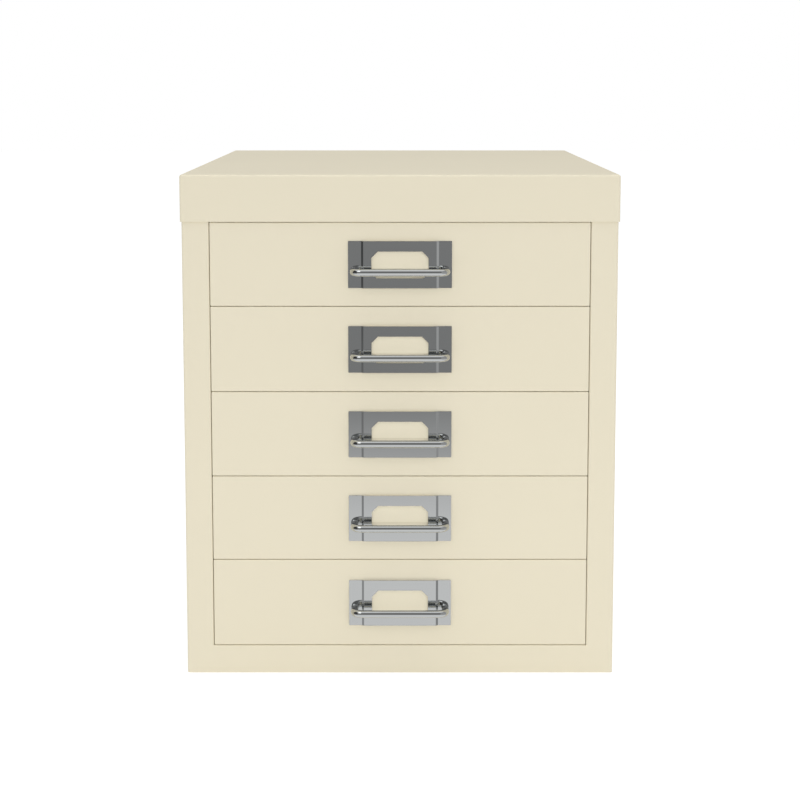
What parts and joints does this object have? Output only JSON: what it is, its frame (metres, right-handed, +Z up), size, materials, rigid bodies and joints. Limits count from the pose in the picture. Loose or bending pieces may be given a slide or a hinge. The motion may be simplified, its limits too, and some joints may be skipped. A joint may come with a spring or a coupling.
{
  "type": "multi-drawer cabinet",
  "caption": "Free-standing desktop cabinet in cream painted sheet steel, with shallow full-width drawers on steel runners, each with a chromed label plate and a wire pull.",
  "frame": {"origin": "centre of the footprint, on the surface that the cabinet stands on", "axes": "+Z up; the drawers open towards -Y, so the front faces -Y and +Y runs from front to back; +X is to the right as seen from the front"},
  "size_m": [0.279, 0.394, 0.325],
  "materials": {
    "cream_paint": "satin powder coat",
    "bright_chrome": "polished",
    "runner_steel": "zinc plated",
    "zinc_steel": "zinc plated",
    "label_card": "plain card"
  },
  "bodies": {
    "carcase": {"top_cap": "cream_paint", "left_side": "cream_paint", "right_side": "cream_paint", "back_panel": "cream_paint", "base_panel": "cream_paint", "bottom_rail": "cream_paint", "top_rail": "cream_paint", "left_rear_post": "cream_paint", "right_rear_post": "cream_paint", "left_runner_1": "runner_steel", "right_runner_1": "runner_steel", "left_runner_2": "runner_steel", "right_runner_2": "runner_steel", "left_runner_3": "runner_steel", "right_runner_3": "runner_steel", "left_runner_4": "runner_steel", "right_runner_4": "runner_steel", "left_runner_5": "runner_steel", "right_runner_5": "runner_steel"},
    "drawer_1": {"drawer_front_1": "cream_paint", "drawer_tray_1": "cream_paint", "handle_plate_1": "bright_chrome", "handle_pull_1": "bright_chrome", "label_card_1": "label_card", "handle_screws_1": "zinc_steel"},
    "drawer_2": {"drawer_front_2": "cream_paint", "drawer_tray_2": "cream_paint", "handle_plate_2": "bright_chrome", "handle_pull_2": "bright_chrome", "label_card_2": "label_card", "handle_screws_2": "zinc_steel"},
    "drawer_3": {"drawer_front_3": "cream_paint", "drawer_tray_3": "cream_paint", "handle_plate_3": "bright_chrome", "handle_pull_3": "bright_chrome", "label_card_3": "label_card", "handle_screws_3": "zinc_steel"},
    "drawer_4": {"drawer_front_4": "cream_paint", "drawer_tray_4": "cream_paint", "handle_plate_4": "bright_chrome", "handle_pull_4": "bright_chrome", "label_card_4": "label_card", "handle_screws_4": "zinc_steel"},
    "drawer_5": {"drawer_front_5": "cream_paint", "drawer_tray_5": "cream_paint", "handle_plate_5": "bright_chrome", "handle_pull_5": "bright_chrome", "label_card_5": "label_card", "handle_screws_5": "zinc_steel"}
  },
  "joints": [
    {"name": "drawer_1_slide", "type": "slide", "parent": "carcase", "child": "drawer_1", "axis": [0, -1, 0], "range_m": [0, 0.26]},
    {"name": "drawer_2_slide", "type": "slide", "parent": "carcase", "child": "drawer_2", "axis": [0, -1, 0], "range_m": [0, 0.26]},
    {"name": "drawer_3_slide", "type": "slide", "parent": "carcase", "child": "drawer_3", "axis": [0, -1, 0], "range_m": [0, 0.26]},
    {"name": "drawer_4_slide", "type": "slide", "parent": "carcase", "child": "drawer_4", "axis": [0, -1, 0], "range_m": [0, 0.26]},
    {"name": "drawer_5_slide", "type": "slide", "parent": "carcase", "child": "drawer_5", "axis": [0, -1, 0], "range_m": [0, 0.26]}
  ]
}
